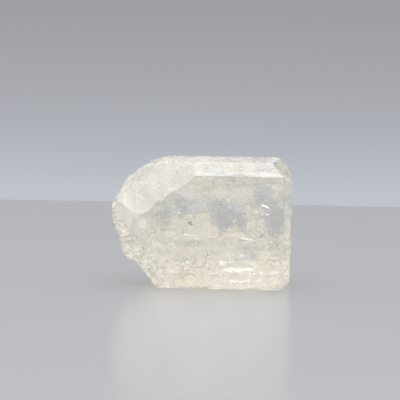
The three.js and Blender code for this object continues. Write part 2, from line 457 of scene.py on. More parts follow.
# How much each pattern adds to the frost, and to its brightness.
PLAIN_FROST = 0.9
MOTTLE_FROST = 2.6
BROKEN_MOTTLE_LOSS = 2.2
CLOUDING_FROST = 0.9
PIT_LOSS = 0.9
LINE_FROST = 0.5
FLECK_FROST = 0.6
GROWN_FLECKS = 0.6
CURTAIN_FROST = 0.06
DARK_LINE_WEIGHT = 1.3
PLAIN_SHADE = 0.92
MOTTLE_SHADE = 0.42
CLOUDING_SHADE = 0.25
LINE_SHADE = 0.18
# Flecks are whiter frost, and this much brighter again: painted glints that stand in for small facets
# catching the light from above.
FLECK_PAINTED_GLINT = 0.14

# What full frost does: the share of the surface that turns milky, and its roughness.
MILKY_SHARE = 0.8
GLASSY_ROUGHNESS = 0.02
FROST_ROUGHNESS = 0.5
MILK_WHITE = (1.0, 0.98, 0.92)
CREAM = (1.0, 0.955, 0.86)
LAMP_LIGHT_INSIDE = (1.0, 0.99, 0.96)

# Directions of the crystal's axes in the part: b leans so that the top face is level.
LEAN = math.pi / 2 - math.atan2(1 / AXIS_A, 2)
A_DIRECTION = Vector((0, math.sin(LEAN), math.cos(LEAN)))
B_DIRECTION = Vector((0, -math.cos(LEAN), math.sin(LEAN)))
C_DIRECTION = Vector((1, 0, 0))
UPWARD = Vector((0, 0, 1))
CENTRE = Vector((0, 0, AXIS_Z))


def face_normal(h, k, l=0):
    """The outward unit normal of the face with these indices."""
    return (A_DIRECTION * (h / AXIS_A) + B_DIRECTION * k + C_DIRECTION * (l / AXIS_C)).normalized()


def corner_between(one, other):
    """Where two neighbouring prism faces cross, as (y, z) from the crystal's axis."""
    n1 = face_normal(*one.hk)
    n2 = face_normal(*other.hk)
    cross = n1.y * n2.z - n1.z * n2.y
    return Vector((
        (one.distance * n2.z - other.distance * n1.z) / cross,
        (other.distance * n1.y - one.distance * n2.y) / cross,
    ))


def repeatable(seed):
    """A stream of numbers from 0 to 1 that places the broad striae."""
    state = seed
    while True:
        state = (state * 1664525 + 1013904223) % 4294967296
        yield state / 4294967296


def broad_striae(face, width, stream):
    """The bends of a face's broad striae, as (place along the face, depth)."""
    bends = [(0.0, 0.0)]
    pitch = width / (face.striae + 1)
    for i in range(1, face.striae + 1):
        middle = pitch * (i + 0.5 * (next(stream) - 0.5))
        half = pitch * (0.18 + 0.14 * next(stream))
        riser = min(STRIA_RISER, half * 0.6)
        depth = STRIA_DEPTH * (0.35 + 0.65 * next(stream))
        bends += [
            (middle - half, 0.0),
            (middle - half + riser, depth),
            (middle + half - riser, depth),
            (middle + half, 0.0),
        ]
    bends.append((width, 0.0))
    return bends


def depth_at(bends, along):
    """How deep the broad striae lie at a place along a face."""
    for (start, before), (end, after) in zip(bends, bends[1:]):
        if along <= end:
            share = (along - start) / max(end - start, 1e-9)
            return before + (after - before) * share
    return 0.0


def striated_side(start, end, face, name, stream, fine_depth, rng):
    """One face's bends as (point, inward, broad depth, fine depth, place along the face)."""
    normal = face_normal(*face.hk)
    inward = Vector((-normal.y, -normal.z))
    width = (end - start).length
    bends = broad_striae(face, width, stream)
    marks = {along: 0.0 for along, _ in bends[:-1]}
    if name != "foot":
        along = FINE_EDGE
        while along < width - FINE_EDGE:
            level = rng.random() ** 2
            span = rng.uniform(*FINE_WIDTH)
            last = min(along + span, width - FINE_EDGE)
            marks[along + FINE_RISER] = level
            marks[last - FINE_RISER] = level
            along = last + FINE_RISER
    side = []
    for along in sorted(marks):
        point = start.lerp(end, along / width)
        broad = depth_at(bends, along) * STRIA_SOFTENING
        side.append((point, inward, broad, marks[along] * fine_depth, along))
    return side


def closed_mesh(name, points, faces):
    """A mesh of these points and faces with its faces turned outwards."""
    mesh = bpy.data.meshes.new(name)
    mesh.from_pydata(points, [], faces)
    work = bmesh.new()
    work.from_mesh(mesh)
    bmesh.ops.recalc_face_normals(work, faces=work.faces)
    work.to_mesh(mesh)
    work.free()
    return mesh


def grown_prism(fine_depth):
    """The long prism with all its striae, before its ends are made."""
    names = list(PRISM)
    faces = list(PRISM.values())
    corners = [corner_between(f, faces[(i + 1) % len(faces)]) for i, f in enumerate(faces)]
    stream = repeatable(STRIA_SEED)
    rng = Random(STRIA_SEED)
    outline = []
    for i, face in enumerate(faces):
        outline += striated_side(corners[i - 1], corners[i], face, names[i], stream, fine_depth, rng)
    slices = math.ceil(STOCK_LENGTH / SLICE)
    points = []
    for step in range(slices + 1):
        x = BASE_X - STOCK_LENGTH * step / slices
        for i, (point, inward, depth, fine, along) in enumerate(outline):
            fade = 0.5 + 0.5 * noise.noise(Vector((x * FADE_ALONG, i * FADE_BETWEEN, along)))
            place = point + inward * (depth + fine * fade)
            points.append((x, place.x, AXIS_Z + place.y))
    count = len(outline)
    rings = [
        (step * count + i, step * count + (i + 1) % count,
         (step + 1) * count + (i + 1) % count, (step + 1) * count + i)
        for step in range(slices)
        for i in range(count)
    ]
    ends = [tuple(range(count)), tuple(range(slices * count, (slices + 1) * count))]
    return closed_mesh("prism", points, rings + ends)


def half_space(normal, point):
    """A block that holds everything beyond a plane, as far as the crystal goes."""
    half = CUT_BLOCK / 2
    turn = UPWARD.rotation_difference(normal)
    points = []
    for x in (-half, half):
        for y in (-half, half):
            for z in (0, CUT_BLOCK):
                points.append(tuple(turn @ Vector((x, y, z)) + point))
    faces = [(0, 1, 3, 2), (4, 6, 7, 5), (0, 4, 5, 1), (2, 3, 7, 6), (0, 2, 6, 4), (1, 5, 7, 3)]
    return closed_mesh("half space", points, faces)


def ledge_block(side, x, outward, through):
    """Everything past x along the c axis that is also on the outer side of a riser."""
    along = Vector((side, 0, 0))
    across = along.cross(outward)
    points = []
    for depth in (0, CUT_BLOCK):
        for out, over in ((0, -1), (0, 1), (1, 1), (1, -1)):
            place = through + outward * (out * CUT_BLOCK) + across * (over * CUT_BLOCK)
            points.append((x + side * depth, place.y, place.z))
    faces = [(0, 1, 2, 3), (4, 7, 6, 5), (0, 4, 5, 1), (1, 5, 6, 2), (2, 6, 7, 3), (3, 7, 4, 0)]
    return closed_mesh("ledge block", points, faces)


def waver(x, z, phase):
    """Slow unevenness of a broken surface, from -1 to 1."""
    return (
        0.5 * math.sin(0.55 * x + 0.31 * z + phase)
        + 0.3 * math.sin(-0.42 * x + 0.83 * z + 2.1 * phase)
        + 0.2 * math.sin(1.31 * x - 1.07 * z + 3.7 * phase)
    )


def shards(x, z, pitch, phase):
    """Small flat facets, each tipped its own way, with low steps between them."""
    place = Vector((x / pitch, z / pitch, phase))
    middle = noise.voronoi(place)[1][0]
    tip = noise.cell_vector(middle * SHARD_SHUFFLE)
    away = place - middle
    return pitch * (SHARD_SLOPE * (away.x * tip.x + away.y * tip.y) + SHARD_STEP * tip.z)


def hackle(x, z, r, phase):
    """Fine plumes that run out from the blow point, and arrest lines across them."""
    spread = min(1.0, r / CALM_RADIUS)
    angle = math.atan2(z, x)
    plume = noise.noise(Vector((angle * HACKLES / math.tau * 2, r * PLUME_STRETCH, phase * 7.3)))
    gusts = noise.noise(Vector((x * GUST_SCALE, z * GUST_SCALE, phase * 3.1)))
    gust = max(0.0, gusts + GUST_SHARE)
    sway = ARREST_SWAY * noise.noise(Vector((x * 0.3, z * 0.3, phase)))
    arrest = math.sin(r * ARREST_PITCH + sway)
    speckle = noise.noise(Vector((x * SPECKLE_SCALE, z * SPECKLE_SCALE, phase)))
    relief = spread * (PLUME_HEIGHT * plume * gust + ARREST_HEIGHT * arrest * gust)
    return relief + SPECKLE_HEIGHT * speckle


def shard_relief(x, z, phase, strength):
    """Coarse and fine shards together, in patches and none between them."""
    field = noise.noise(Vector((x * SHARD_FIELD, z * SHARD_FIELD, phase)))
    amount = strength * min(1, max(0, 0.5 + SHARD_CONTRAST * field))
    if not amount:
        return 0.0
    coarse, fine = SHARD_PITCHES
    return amount * (shards(x, z, coarse, phase) + shards(x, z, fine, phase + 0.5))


def fracture_block(cut, phase, detail):
    """The body that a fracture takes away: everything outside its curved surface."""
    rings = max(FEWEST_RINGS, math.ceil(cut.reach / detail))
    fewest, most = SECTORS
    sectors = max(fewest, min(most, round(math.tau * cut.reach * SQUARE_AT / detail)))
    uneven = WAVER * min(1, cut.reach / FULL_WAVER_REACH)
    turn = Vector((0, 1, 0)).rotation_difference(Vector(cut.face).normalized())
    blow = Vector(cut.blow)

    def lifted(r, angle):
        x = r * math.sin(angle)
        z = r * math.cos(angle)
        wave = math.cos(math.tau * r / RIPPLE_PITCH)
        y = -cut.bend * r * r / 2 - cut.ripple * (1 - wave) * 0.5
        y += uneven * waver(x, z, phase)
        if cut.ripple:
            y += hackle(x, z, r, phase)
            y += shard_relief(x, z, phase, cut.shards)
        return tuple(turn @ Vector((x, y, z)) + blow)

    def lid(r, angle, y):
        x = r * math.sin(angle)
        z = r * math.cos(angle)
        return tuple(turn @ Vector((x, y + uneven * waver(x, z, phase), z)) + blow)

    points = [lifted(0, 0)]
    for ring in range(1, rings + 1):
        for sector in range(sectors):
            points.append(lifted(cut.reach * ring / rings, math.tau * sector / sectors))
    rim = cut.reach + cut.flare * CUTTER_HEIGHT
    for sector in range(sectors):
        points.append(lid(rim, math.tau * sector / sectors, CUTTER_HEIGHT))
    points.append(lid(0, 0, CUTTER_HEIGHT))
    faces = [(0, 1 + s, 1 + (s + 1) % sectors) for s in range(sectors)]
    for ring in range(rings):
        near = 1 + ring * sectors
        far = near + sectors
        for s in range(sectors):
            other = (s + 1) % sectors
            faces.append((near + s, far + s, far + other, near + other))
    last = 1 + rings * sectors
    peak = len(points) - 1
    faces += [(peak, last + (s + 1) % sectors, last + s) for s in range(sectors)]
    return closed_mesh("fracture block", points, faces)


def chip_block(chip, phase):
    """A small bowl-shaped fracture dug into the surface at a point."""
    outward = Vector(chip.face).normalized()
    blow = Vector(chip.at) - outward * chip.depth
    bend = -8 * chip.depth / chip.width**2
    return fracture_block(Fracture(tuple(blow), chip.face, bend, 0.8 * chip.width), phase, CHIP_RING_STEP)


def nicks():
    """Small hollows scattered along the rims."""
    rng = Random(NICK_SEED)
    for rim in RIMS:
        start = Vector(rim.start)
        end = Vector(rim.end)
        for i in range(rim.count):
            place = start.lerp(end, (i + rng.random()) / rim.count)
            lean = Vector([rng.uniform(-NICK_LEAN, NICK_LEAN) for _ in range(3)])
            width = rng.uniform(*rim.widths)
            face = (Vector(rim.face) + lean).normalized()
            yield Chip(tuple(place), tuple(face), width, width * rim.slope)


def cutters():
    """All that is taken off the prism, as (mesh, whether it leaves a broken surface)."""
    for bevel in BEVELS:
        face = PRISM[bevel.on]
        place = CENTRE + face_normal(*face.hk) * face.distance
        place.x = bevel.x
        yield half_space(face_normal(*bevel.hkl), place), False
    for step in GROWTH_STEPS:
        normal = face_normal(*step.hk)
        yield ledge_block(1, BASE_X - step.drop, normal, CENTRE + normal * step.distance), False
    for i, cut in enumerate(FRACTURES):
        yield fracture_block(cut, i + 1, RING_STEP), True
    for step in CLEAVAGE_STEPS:
        riser = Vector((0, *step.riser)).normalized()
        yield ledge_block(-1, step.x, riser, Vector((0, *step.through))), True
    for i, chip in enumerate([*CHIPS, *nicks()]):
        yield chip_block(chip, i + 1), True


def carved(stock, blocks):
    """What is left of a mesh once all blocks are cut from it, its broken faces marked."""
    body = bpy.data.objects.new("crystal stock", stock)
    bpy.context.scene.collection.objects.link(body)
    plain = [bpy.data.materials.new("grown"), bpy.data.materials.new("broken")]
    for material in plain:
        stock.materials.append(material)
    tools = []
    for mesh, broken in blocks:
        for material in plain:
            mesh.materials.append(material)
        mesh.polygons.foreach_set("material_index", [int(broken)] * len(mesh.polygons))
        tool = bpy.data.objects.new("cutter", mesh)
        bpy.context.scene.collection.objects.link(tool)
        cut = body.modifiers.new("cut", "BOOLEAN")
        cut.operation = "DIFFERENCE"
        cut.solver = "MANIFOLD"
        cut.object = tool
        tools.append(tool)
    graph = bpy.context.evaluated_depsgraph_get()
    left = bpy.data.meshes.new_from_object(body.evaluated_get(graph))
    for tool in [body, *tools]:
        mesh = tool.data
        bpy.data.objects.remove(tool)
        bpy.data.meshes.remove(mesh)
    marks = [0] * len(left.polygons)
    left.polygons.foreach_get("material_index", marks)
    left.materials.clear()
    left.attributes.new("broken", "FLOAT", "FACE").data.foreach_set("value", marks)
    for material in plain:
        bpy.data.materials.remove(material)
    return left


def crisp(mesh):
    """Smooths the curved surfaces and leaves every real edge sharp."""
    work = bmesh.new()
    work.from_mesh(mesh)
    bmesh.ops.dissolve_degenerate(work, dist=LEAST_EDGE, edges=work.edges)
    for face in work.faces:
        face.smooth = True
        face.material_index = 0
    broken = work.faces.layers.float["broken"]
    for edge in work.edges:
        if len(edge.link_faces) == 2:
            within_break = all(face[broken] for face in edge.link_faces)
            limit = SHARP_BREAK_ANGLE if within_break else SHARP_ANGLE
            edge.smooth = edge.calc_face_angle(math.pi) < limit
    work.to_mesh(mesh)
    work.free()


def frosted(mesh):
    """Marks how frosted each of the mesh's faces is, and how bright its frost."""
    normals = {name: face_normal(*face.hk) for name, face in PRISM.items()}
    broken = mesh.attributes["broken"].data
    shares = []
    tones = []
    for face, mark in zip(mesh.polygons, broken):
        share = END_FROST
        tone = 1.0
        if mark.value:
            share = BROKEN_FROST if face.normal.z > 0 else UNDERCUT_FROST
        else:
            for name, normal in normals.items():
                if face.normal.dot(normal) > SAME_FACE:
                    share = FROST[name]
                    tone = TONE.get(name, 1.0)
        shares.append(share)
        tones.append(tone)
    mesh.attributes.new("frost", "FLOAT", "FACE").data.foreach_set("value", shares)
    mesh.attributes.new("tone", "FLOAT", "FACE").data.foreach_set("value", tones)


def deep_inside(place, margin):
    """True if a place is in the crystal and at least margin from its surfaces."""
    if not LEAST_FLAW_X < place.x < BASE_X - margin:
        return False
    for face in PRISM.values():
        if (place - CENTRE).dot(face_normal(*face.hk)) > face.distance - margin:
            return False
    for bevel in BEVELS:
        face = PRISM[bevel.on]
        on_face = CENTRE + face_normal(*face.hk) * face.distance
        on_face.x = bevel.x
        if (place - on_face).dot(face_normal(*bevel.hkl)) > -margin:
            return False
    for cut in FRACTURES:
        outward = Vector(cut.face).normalized()
        away = place - Vector(cut.blow)
        if away.dot(outward) > -margin - max(0, cut.bend) * away.length_squared / 2:
            return False
    return True


def flat_hollow(place, turn, radius, stretch, rng):
    """A thin lens-shaped crack, as points and faces that face into it."""
    rim = []
    for sector in range(FLAW_SECTORS):
        angle = math.tau * sector / FLAW_SECTORS
        reach = radius * rng.uniform(*CRACK_RAGGED)
        rim.append(Vector((math.cos(angle), math.sin(angle) * stretch, 0)) * reach)
    points = []
    for side in (1, -1):
        up = Vector((0, 0, side * CRACK_GAP))
        points.append(turn @ up + place)
        points += [turn @ (out * CRACK_FLAT_PART + up * CRACK_SHOULDER) + place for out in rim]
    points += [turn @ out + place for out in rim]
    n = FLAW_SECTORS
    faces = []
    for i in range(n):
        j = (i + 1) % n
        rim_i = 2 * (n + 1) + i
        rim_j = 2 * (n + 1) + j
        faces += [
            (0, 1 + j, 1 + i),
            (1 + i, 1 + j, rim_j, rim_i),
            (n + 1, n + 2 + i, n + 2 + j),
            (n + 2 + j, n + 2 + i, rim_i, rim_j),
        ]
    return points, faces


def veil_hollow(veil, rng):
    """A long thin crack that faces up and forward as far as its course allows."""
    start = Vector(veil.start)
    end = Vector(veil.end)
    along = (end - start).normalized()
    normal = (GLINT_NORMAL - along * GLINT_NORMAL.dot(along)).normalized()
    turn = Matrix((along, normal.cross(along), normal)).transposed()
    length = (end - start).length
    return flat_hollow((start + end) / 2, turn, length / 2, veil.width / length, rng)


def bubble(place, radius):
    """A tiny eight-sided hollow, as points and faces that face into it."""
    points = [place + Vector(side) * radius for side in (
        (1, 0, 0), (-1, 0, 0), (0, 1, 0), (0, -1, 0), (0, 0, 1), (0, 0, -1)
    )]
    faces = [(0, 4, 2), (2, 4, 1), (1, 4, 3), (3, 4, 0), (2, 5, 0), (1, 5, 2), (3, 5, 1), (0, 5, 3)]
    return points, faces


def flaws():
    """All cracks and bubbles inside the crystal, as one list of points and one of faces."""
    rng = Random(FLAW_SEED)
    points = []
    faces = []

    def add(made):
        first = len(points)
        points.extend(made[0])
        faces.extend(tuple(first + i for i in face) for face in made[1])

    low = (LEAST_FLAW_X, -FLAW_HALF_DEPTH, LOWEST_FLAW)
    high = (BASE_X, FLAW_HALF_DEPTH, HIGHEST_FLAW)
    placed = 0
    while placed < CRACKS:
        place = Vector([rng.uniform(a, b) for a, b in zip(low, high)])
        radius = rng.uniform(*CRACK_RADII) * rng.random() ** 0.5
        if not deep_inside(place, radius + CRACK_MARGIN):
            continue
        lean = Vector([rng.gauss(0, 1) for _ in range(3)]) * CRACK_SCATTER
        normal = (Vector(rng.choice(CRACK_NORMALS)) + lean).normalized()
        turn = UPWARD.rotation_difference(normal).to_matrix()
        add(flat_hollow(place, turn, radius, rng.uniform(*CRACK_STRETCHES), rng))
        placed += 1
    for veil in VEILS:
        add(veil_hollow(veil, rng))
    for cloud in CLOUDS:
        placed = 0
        while placed < cloud.count:
            spot = Vector([rng.gauss(0, 1) for _ in range(3)])
            place = Vector(cloud.middle) + Vector([s * h for s, h in zip(spot, cloud.spread)])
            placed += 1
            if deep_inside(place, BUBBLE_MARGIN):
                add(bubble(place, rng.uniform(*BUBBLE_RADII)))
    return points, faces


def with_flaws(mesh):
    """Adds the cracks and bubbles to the crystal's mesh as hollows."""
    points, faces = flaws()
    hollows = bpy.data.meshes.new("hollows")
    hollows.from_pydata(points, [], faces)
    work = bmesh.new()
    work.from_mesh(mesh)
    work.from_mesh(hollows)
    work.to_mesh(mesh)
    work.free()
    bpy.data.meshes.remove(hollows)


def centred(mesh):
    """Moves a mesh so that the middle of its box is on the Z axis, and turns it to metres."""
    xs = [v.co.x for v in mesh.vertices]
    ys = [v.co.y for v in mesh.vertices]
    shift = Vector((-(min(xs) + max(xs)) / 2, -(min(ys) + max(ys)) / 2, 0))
    mesh.transform(Matrix.Scale(MM, 4) @ Matrix.Translation(shift))


class Field:
    """An output of a material's nodes. Sums written on it add Math nodes."""

    def __init__(self, look, socket):
        self.look = look
        self.socket = socket

    def math(self, operation, *values):
        return self.look.node("ShaderNodeMath", {"operation": operation}, dict(enumerate(values)))

    def __add__(self, other):
        return self.math("ADD", self, other)

    __radd__ = __add__

    def __sub__(self, other):
        return self.math("SUBTRACT", self, other)

    def __rsub__(self, other):
        return self.math("SUBTRACT", other, self)

    def __mul__(self, other):
        return self.math("MULTIPLY", self, other)

    __rmul__ = __mul__

    def __truediv__(self, other):
        return self.math("DIVIDE", self, other)

    def __pow__(self, other):
        return self.math("POWER", self, other)

    def least(self, other):
        return self.math("MINIMUM", self, other)

    def most(self, other):
        return self.math("MAXIMUM", self, other)

    def ramp(self, start, end):
        """0 up to start and 1 from end on, with a soft passage between them."""
        return self.look.node(
            "ShaderNodeMapRange",
            {"interpolation_type": "SMOOTHSTEP", "clamp": True},
            {"Value": self, "From Min": start, "From Max": end},
        )


class Look:
    """The nodes of a material or a world under construction."""

    def __init__(self, owner, end="ShaderNodeOutputMaterial"):
        self.owner = owner
        owner.use_nodes = True
        self.tree = owner.node_tree
        self.tree.nodes.clear()
        self.out = self.tree.nodes.new(end)

    def node(self, kind, settings=None, inputs=None, output=0):
        made = self.tree.nodes.new(kind)
        for name, value in (settings or {}).items():
            if name == "stops":
                self.set_stops(made.color_ramp, value)
            else:
                setattr(made, name, value)
        for name, value in (inputs or {}).items():
            self.feed(self.shown(made.inputs, name), value)
        return Field(self, self.shown(made.outputs, output))

    def shown(self, sockets, name):
        """The socket of that name or number which the node's settings leave in use."""
        if isinstance(name, int):
            return sockets[name]
        return next(socket for socket in sockets if socket.name == name and socket.enabled)

    def set_stops(self, ramp, stops):
        while len(ramp.elements) < len(stops):
            ramp.elements.new(1)
        for element, (place, colour) in zip(ramp.elements, stops):
            element.position = place
            element.color = (*colour, 1)

    def feed(self, socket, value):
        if isinstance(value, Field):
            self.tree.links.new(value.socket, socket)
        elif socket.type == "RGBA":
            socket.default_value = (*value, 1)
        else:
            socket.default_value = value

    def finish(self, surface, volume=None):
        self.tree.links.new(surface.socket, self.out.inputs["Surface"])
        if volume:
            self.tree.links.new(volume.socket, self.out.inputs["Volume"])
        return self.owner

    def dot(self, place, direction):
        return self.node(
            "ShaderNodeVectorMath", {"operation": "DOT_PRODUCT"}, {0: place, 1: tuple(direction)}, "Value"
        )

    def blend(self, one, other, share):
        """One colour, or the other where the share is 1."""
        return self.node(
            "ShaderNodeMix",
            {"data_type": "RGBA", "blend_type": "MIX"},
            {"Factor": share, "A": one, "B": other},
            "Result",
        )

    def tinted(self, colour, amount):
        """A colour darkened to an amount that varies over the surface."""
        return self.blend((0.0, 0.0, 0.0), colour, amount)

    def stretched(self, place, factors):
        return self.node("ShaderNodeVectorMath", {"operation": "MULTIPLY"}, {0: place, 1: factors})

    def noise(self, place, scale, detail, roughness=0.5):
        return self.node(
            "ShaderNodeTexNoise",
            None,
            {"Vector": place, "Scale": scale, "Detail": detail, "Roughness": roughness},
            "Fac",
        )

    def swing(self, place, grain):
        """A grain's noise, from about -0.5 to 0.5."""
        return self.noise(place, grain.scale, grain.detail, grain.roughness) - 0.5

    def spots(self, place, grain):
        """A grain's noise, 0 below its cut and 1 above it."""
        return self.noise(place, grain.scale, grain.detail, grain.roughness).ramp(*grain.cut)


class CrystalSettings(bpy.types.PropertyGroup):
    """What a user would change on the crystal."""

    tint: bpy.props.FloatVectorProperty(
        name="Tint", description="Colour that light takes on inside", subtype="COLOR",
        default=(0.96, 0.93, 0.84), min=0, max=1,
    )
    depth_of_tint: bpy.props.FloatProperty(
        name="Depth of tint", description="How fast light takes on the tint, per metre", default=30, min=0
    )
    refraction: bpy.props.FloatProperty(
        name="Refraction", description="Refractive index of topaz", default=1.62, min=1, max=2
    )
    fine_striae: bpy.props.FloatProperty(
        name="Fine striae", description="Depth of the finest lines along the crystal, in millimetres",
        default=0.008, min=0, max=0.2,
    )


class StageSettings(bpy.types.PropertyGroup):
    """What a user would change on the table and light."""

    floor_colour: bpy.props.FloatVectorProperty(
        name="Floor", description="Colour of the table top", subtype="COLOR",
        default=(0.455, 0.459, 0.473), min=0, max=1,
    )
    softbox_power: bpy.props.FloatProperty(
        name="Softbox", description="Power of the light overhead", default=0.95, min=0, unit="POWER"
    )
    room_overhead: bpy.props.FloatProperty(
        name="Room", description="Brightness of the room overhead", default=1.1, min=0
    )
    fill_power: bpy.props.FloatProperty(
        name="Fill", description="Power of the light beside the camera", default=2.4, min=0, unit="POWER"
    )


def patch_mask(x, z, ragged, patches, border):
    """1 in the patches and 0 outside them, with a border as ragged as the field that is given."""
    mask = 0.0
    for patch in patches:
        across = (x - patch.x * MM) / (patch.half_x * MM)
        up = (z - patch.z * MM) / (patch.half_z * MM)
        inside = (1 - across * across - up * up + ragged).ramp(*border)
        mask = (inside * patch.strength).most(mask)
    return mask


def window_mask(look, place):
    """1 in the clear patches and 0 outside them, with a streaked, ragged border."""
    warp = look.swing(place, WINDOW_WARP) * (WINDOW_WARP_WIDTH * MM)
    x = look.dot(place, C_DIRECTION) + warp
    z = look.dot(place, UPWARD) + warp
    ragged = look.swing(look.stretched(place, WINDOW_STRETCH), WINDOW_BORDER) * WINDOW_RAGGED
    across = x - ARC_MIDDLE[0] * MM
    up = z - ARC_MIDDLE[1] * MM
    away = ((across * across + up * up) ** 0.5 - ARC_RADIUS * MM) / (ARC_HALF_WIDTH * MM)
    ends = x.ramp(*[end * MM for end in ARC_IN_X]) * z.ramp(*[end * MM for end in ARC_IN_Z])
    arc = (1 - away * away + ragged).ramp(*ARC_CUT) * ends
    return arc.most(patch_mask(x, z, ragged, WINDOWS, WINDOW_BORDER.cut))


def soft_mask(look, place, patches):
    """1 in the patches and 0 outside them, with soft borders."""
    uneven = look.swing(place, SOFT_BORDER) * SOFT_RAGGED
    x = look.dot(place, C_DIRECTION)
    z = look.dot(place, UPWARD)
    return patch_mask(x, z, uneven, patches, SOFT_BORDER.cut)


def drawn(look, place, strokes):
    """1 on each of the strokes and 0 between them."""
    turned = look.node(
        "ShaderNodeVectorRotate",
        {"rotation_type": "Y_AXIS"},
        {"Vector": place, "Angle": strokes.lean},
        "Vector",
    )
    field = look.noise(look.stretched(turned, (1.0, 1.0, strokes.stretch)), strokes.scale, *STROKE_DETAIL)
    return field.ramp(strokes.level, strokes.level + STROKE_SOFTNESS)


def topaz_look(settings):
    """Clear, faintly champagne topaz, with cream frost where it is etched, bruised or broken."""
    look = Look(bpy.data.materials.new("topaz"))
    place = look.node("ShaderNodeTexCoord", output="Object")
    broken, frost, tone = [
        look.node("ShaderNodeAttribute", {"attribute_name": name}, output="Fac")
        for name in ("broken", "frost", "tone")
    ]
    grown = 1 - broken
    clear = window_mask(look, place) * grown
    even = soft_mask(look, place, MILKY_PATCHES) * (1 - clear)
    # Painted shade: the frost is darkened in these patches.
    painted_shade = soft_mask(look, place, SHADED_PATCHES)
    mottle = look.swing(place, MOTTLE)
    clouding = look.swing(place, CLOUDING)
    # Flecks: whiter frost marks that slant one way, partly painted glints.
    flecks = drawn(look, place, UP_FLECKS).most(drawn(look, place, DOWN_FLECKS))
    flecks = flecks * look.spots(place, FLECK_FIELD) * (GROWN_FLECKS + broken * (1 - GROWN_FLECKS))
    lines = drawn(look, place, BRIGHT_LINES) - drawn(look, place, DARK_LINES) * DARK_LINE_WEIGHT
    lines = lines * grown
    pits = look.spots(place, PITS) * look.spots(place, PIT_FIELD) * grown
    curtain = look.spots(look.stretched(place, CURTAIN_STRETCH), CURTAIN) * CURTAIN_FROST

    blotches = mottle * (MOTTLE_FROST - broken * BROKEN_MOTTLE_LOSS) + clouding * grown * CLOUDING_FROST
    amount = PLAIN_FROST + blotches - pits * PIT_LOSS + lines * LINE_FROST
    mottled = frost * amount + flecks * FLECK_FROST
    etched = (mottled * (1 - clear) + curtain * clear * frost).least(1).most(0)
    etched = etched * (1 - even) + even * MILKY_FROST
    marks = PLAIN_SHADE + mottle * MOTTLE_SHADE + clouding * CLOUDING_SHADE + lines * LINE_SHADE
    # Brightness of the milky frost: its tone and marks, with painted glints on the flecks and painted
    # shade in the shaded patches.
    shade = (tone * marks + flecks * FLECK_PAINTED_GLINT).least(1) * (1 - painted_shade)

    grain = look.noise(place, FINE_GRAIN.scale, FINE_GRAIN.detail)
    bump = look.node("ShaderNodeBump", None, {"Strength": 0.35, "Distance": 0.00005, "Height": grain})
    glass = look.node(
        "ShaderNodeBsdfPrincipled",
        None,
        {
            "Base Color": (1, 1, 1),
            "Roughness": GLASSY_ROUGHNESS + etched * FROST_ROUGHNESS,
            "Normal": bump,
            "IOR": settings.refraction,
            "Transmission Weight": 1.0,
        },
    )
    milky = look.node(
        "ShaderNodeBsdfPrincipled",
        None,
        {
            "Base Color": look.tinted(look.blend(MILK_WHITE, CREAM, even), shade),
            "Roughness": 0.5,
            "Normal": bump,
            "IOR": settings.refraction,
            "Transmission Weight": 0.0,
        },
    )
    solid = look.node("ShaderNodeMixShader", None, {0: etched * MILKY_SHARE, 1: glass, 2: milky})
    lamp_ray = look.node("ShaderNodeLightPath", output="Is Shadow Ray")
    open_way = look.node("ShaderNodeBsdfTransparent", None, {"Color": LAMP_LIGHT_INSIDE})
    surface = look.node("ShaderNodeMixShader", None, {0: lamp_ray, 1: solid, 2: open_way})
    volume = look.node(
        "ShaderNodeVolumeAbsorption",
        None,
        {"Color": tuple(settings.tint), "Density": settings.depth_of_tint},
    )
    return look.finish(surface, volume)


class TOPAZ_OT_crystal(bpy.types.Operator):
    """Grow the crystal, break its end and give it its finish"""

    bl_idname = "topaz.crystal"
    bl_label = "Topaz crystal"

    def execute(self, context):
        settings = context.scene.topaz_crystal
        mesh = carved(grown_prism(settings.fine_striae), cutters())
        crisp(mesh)
        frosted(mesh)
        with_flaws(mesh)
        centred(mesh)
        mesh.name = "topaz_crystal_finished"
        piece = bpy.data.objects.new("topaz_crystal_finished", mesh)
        context.scene.collection.objects.link(piece)
        mesh.materials.append(topaz_look(settings))
        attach(piece, "root")
        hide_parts("topaz_crystal")
        return {"FINISHED"}


# The stage, in metres. The picture is taken to be 400 pixels on a side.
PICTURE_SIDE = 400
FOCAL_PIXELS = 2062
SENSOR_WIDTH = 36.0
CAMERA_PLACE = (-0.000275, -0.4, 0.06)
CAMERA_PITCH = math.radians(6.22)
CAMERA_ROLL = math.radians(1.1)
FLOOR_BACK = 0.143
FLOOR_SPAN = 1.2
FLOOR_DROP = 0.00003
BACKDROP_Y = 0.75
BACKDROP_HEIGHT = 0.5
BACKDROP_WIDTH = 1.2
BACKDROP_LOW = -0.0625
BACKDROP_RISE = 0.106
# Colours of the backdrop's own glow from low to high: painted light, lighter towards the table.
BACKDROP_SHADES = (
    (0.0, (0.533, 0.558, 0.597)),
    (0.185, (0.468, 0.491, 0.533)),
    (0.394, (0.418, 0.434, 0.468)),
    (0.605, (0.386, 0.397, 0.423)),
    (1.0, (0.337, 0.347, 0.366)),
)
SOFTBOX_SIDE = 0.55
SOFTBOX_PLACE = (0.03, -0.04, 0.6)
ROOM_COLOUR = (0.99, 0.99, 1.0)
ROOM_AT_HORIZON = 0.6
ROOM_RISE = (0.0, 0.9)
FILL_SIDE = 0.5
FILL_PLACE = (-0.15, -0.85, 0.5)


def sheet(name, corners, material):
    """A flat sheet of the stage through four corners."""
    mesh = bpy.data.meshes.new(name)
    mesh.from_pydata(corners, [], [(0, 1, 2, 3)])
    mesh.materials.append(material)
    made = bpy.data.objects.new(name, mesh)
    bpy.context.scene.collection.objects.link(made)
    return made


def floor_look(colour):
    """Pale laminate with a faint, soft gloss."""
    look = Look(bpy.data.materials.new("pale table top"))
    surface = look.node(
        "ShaderNodeBsdfPrincipled",
        None,
        {"Base Color": tuple(colour), "Roughness": 0.22, "Specular IOR Level": 0.5},
    )
    return look.finish(surface)


